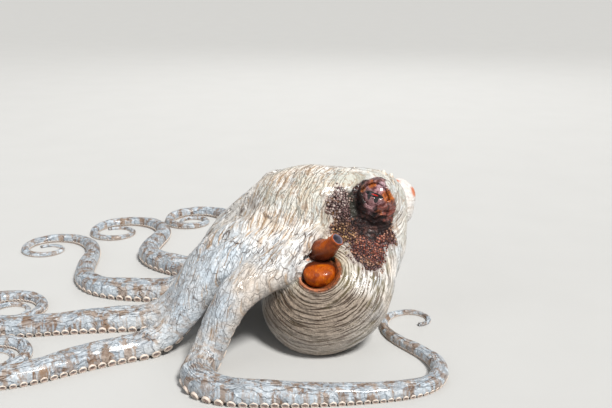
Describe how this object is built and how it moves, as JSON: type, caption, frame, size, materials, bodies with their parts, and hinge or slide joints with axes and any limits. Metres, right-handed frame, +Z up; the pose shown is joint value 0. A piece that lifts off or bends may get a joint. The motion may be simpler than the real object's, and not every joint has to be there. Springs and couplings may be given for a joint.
{
  "type": "octopus",
  "caption": "Life-size still model of a resting day octopus: raised head with turret eyes, bag-shaped mantle hanging beside it, side funnel and curled webbed arms.",
  "frame": {"origin": "on the floor, below the middle of the model's box", "axes": "+Z up, the head faces -X and the animal's left side faces -Y, the spread of the arms is longest along Y"},
  "size_m": [0.3128, 0.3568, 0.1017],
  "materials": {
    "skin": "wet, wrinkled white skin with brown and maroon markings",
    "funnel": "smooth, wet orange skin",
    "eye": "wet, glossy dark eye with a bar pupil"
  },
  "bodies": {
    "root": {"mantle": "skin", "head": "skin", "arm_crown": "skin", "eye_left": "eye", "eye_right": "eye", "funnel": "funnel", "collar": "funnel", "arm_L1_base": "skin", "arm_L1_upper": "skin", "arm_L1_lower": "skin", "arm_L1_tip": "skin", "arm_L2_base": "skin", "arm_L2_upper": "skin", "arm_L2_lower": "skin", "arm_L2_tip": "skin", "arm_L3_base": "skin", "arm_L3_upper": "skin", "arm_L3_lower": "skin", "arm_L3_tip": "skin", "arm_L4_base": "skin", "arm_L4_upper": "skin", "arm_L4_lower": "skin", "arm_L4_tip": "skin", "arm_R4_base": "skin", "arm_R4_upper": "skin", "arm_R4_lower": "skin", "arm_R4_tip": "skin", "arm_R3_base": "skin", "arm_R3_upper": "skin", "arm_R3_lower": "skin", "arm_R3_tip": "skin", "arm_R2_base": "skin", "arm_R2_upper": "skin", "arm_R2_lower": "skin", "arm_R2_tip": "skin", "arm_R1_base": "skin", "arm_R1_upper": "skin", "arm_R1_lower": "skin", "arm_R1_tip": "skin", "web_L1_L2": "skin", "web_L2_L3": "skin", "web_L3_L4": "skin", "web_L4_R4": "skin", "web_R4_R3": "skin", "web_R3_R2": "skin", "web_R2_R1": "skin", "web_R1_L1": "skin"}
  },
  "joints": []
}
